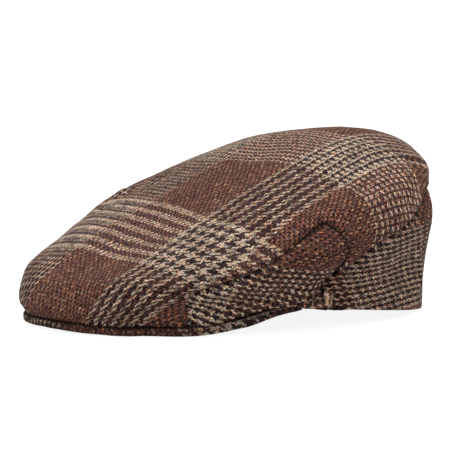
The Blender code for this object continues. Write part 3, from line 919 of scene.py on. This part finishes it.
def makePanel(node, name, values, towards, material, mirrored=False):
    ob = copyOfNode(node, name)
    keepOuterSkin(ob)
    unwrapFlat(ob)
    creaseCorners(ob)
    applyModifier(ob, "SUBSURF", levels=2, render_levels=2, boundary_smooth="PRESERVE_CORNERS")
    smoothInside(ob, values["smoothing"])
    closeSeams(ob, values["edges"]["isRim"], values["overlap"])
    check = values["check"]
    if mirrored:
        check = [mirrorLine(values["mirrorAlong"], *line) for line in check]
    layCheck(ob, towards, check)
    shapeCrown(ob)
    ripple(ob, values["ripples"])
    sewEdges(ob, values["edges"])
    pressFolds(ob, values.get("folds", ()))
    finishPanel(ob, node, values["wall"], values["rounding"], material)
    if node == "back_panel":
        addTucks(ob, material)
    levelRim(ob)
    print(name, "has", len(ob.data.polygons), "faces")
    return ob


# Which way each panel's cloth runs: the real part is across the warp, and the other part along it
def overTop(points):
    return points[:, 0] + 1j * points[:, 1]


def downLeftSide(points):
    return -points[:, 2] + 1j * points[:, 1]


def downRightSide(points):
    return -points[:, 2] - 1j * points[:, 1]


def roundBack(points):
    return -points[:, 2] + 1j * 0.1 * np.arctan2(points[:, 1] - 0.02, points[:, 0])


crownTop = makePanel("top_panel", "crownTop", topCloth, overTop, woolOfCrown)
crownLeft = makePanel("side_panel_left", "crownSideLeft", sideCloth, downLeftSide, woolOfCrown)
crownRight = makePanel("side_panel_right", "crownSideRight", sideCloth, downRightSide, woolOfCrown,
                       mirrored=True)
crownBack = makePanel("back_panel", "crownBack", backCloth, roundBack, shadedWoolOfBack)


peakCloth = {
    "warpStart": 79.0,
    "weftStart": -86.0,
    "waviness": 0.25,
    "waveLength": 9.0,
    "seed": 6.6,
    "flatBelow": 0.3,  # mm over the floor
    "droop": 2.0,  # mm that its front hangs lower than in the CAD
    "droopFrom": (88.0, 18.0),  # mm in front of the middle, and over so many mm
    "sag": (-44.0, 11.0, 1.5),  # and its sides: y, over so many mm, and mm down
    "topEdge": 0.012,  # height in m from which the cloth runs down the front
    "shadeFrom": 0.12,  # painted shade on the top, under the crown's edge, where it faces up more than this
    "shadeGain": 2.0,
    "shadeMost": 0.9,
    "shadeLeast": 0.15,  # share of it that is left at the front
    "shadeEnds": (-84.0, 22.0),  # y where that starts to fade, and over so many mm
}


def makePeak():
    ob = copyOfNode("peak", "peakOfCap")
    makeActive(ob)
    bpy.ops.object.mode_set(mode="EDIT")
    bpy.ops.mesh.select_all(action="SELECT")
    bpy.ops.mesh.tris_convert_to_quads(face_threshold=1.0, shape_threshold=1.0)
    bpy.ops.object.mode_set(mode="OBJECT")
    applyModifier(ob, "SUBSURF", levels=1, render_levels=1)
    points, normals = readPoints(ob), readNormals(ob)
    lift = peakCloth["waviness"] * softNoise(points, peakCloth["waveLength"] * mm, peakCloth["seed"])
    lift *= points[:, 2] > peakCloth["flatBelow"] * mm
    points += normals * lift[:, None] * mm
    start, fade = peakCloth["droopFrom"]
    front = np.clip((-points[:, 1] / mm - start) / fade, 0, 1)
    droop = peakCloth["droop"] * mm * front * front * (3 - 2 * front)
    middle, reach, down = peakCloth["sag"]
    droop += down * mm * np.exp(-((points[:, 1] / mm - middle) / reach) ** 2)
    points[:, 2] = np.maximum(points[:, 2] - droop, np.minimum(points[:, 2], 0.0))
    writePoints(ob, points)
    startMap(ob)
    points, normals = readPoints(ob), readNormals(ob)
    # The cloth runs on down the front edge, so what drops there counts as further out
    outward = points[:, :2] / np.linalg.norm(points[:, :2], axis=1)[:, None]
    flat = points[:, :2] + outward * (peakCloth["topEdge"] - points[:, 2])[:, None]
    writeMap(ob, flat - np.array((peakCloth["warpStart"], peakCloth["weftStart"])) * mm)
    # Painted shade on the top where the crown's edge overhangs it, fading towards the sides
    start, fade = peakCloth["shadeEnds"]
    facingUp = (normals[:, 2] - peakCloth["shadeFrom"]) * peakCloth["shadeGain"]
    dark = np.clip(facingUp, 0, peakCloth["shadeMost"])
    dark *= np.clip(1 - (points[:, 1] / mm - start) / fade, peakCloth["shadeLeast"], 1)
    writePaintedShade(ob, dark)
    ob.data.materials.append(shadedWoolOfPeak)
    makeActive(ob)
    bpy.ops.object.shade_smooth()
    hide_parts("peak")
    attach(ob, "root")
    return ob


peak = makePeak()
print("the peak has", len(peak.data.polygons), "faces")

print("the cap is finished")
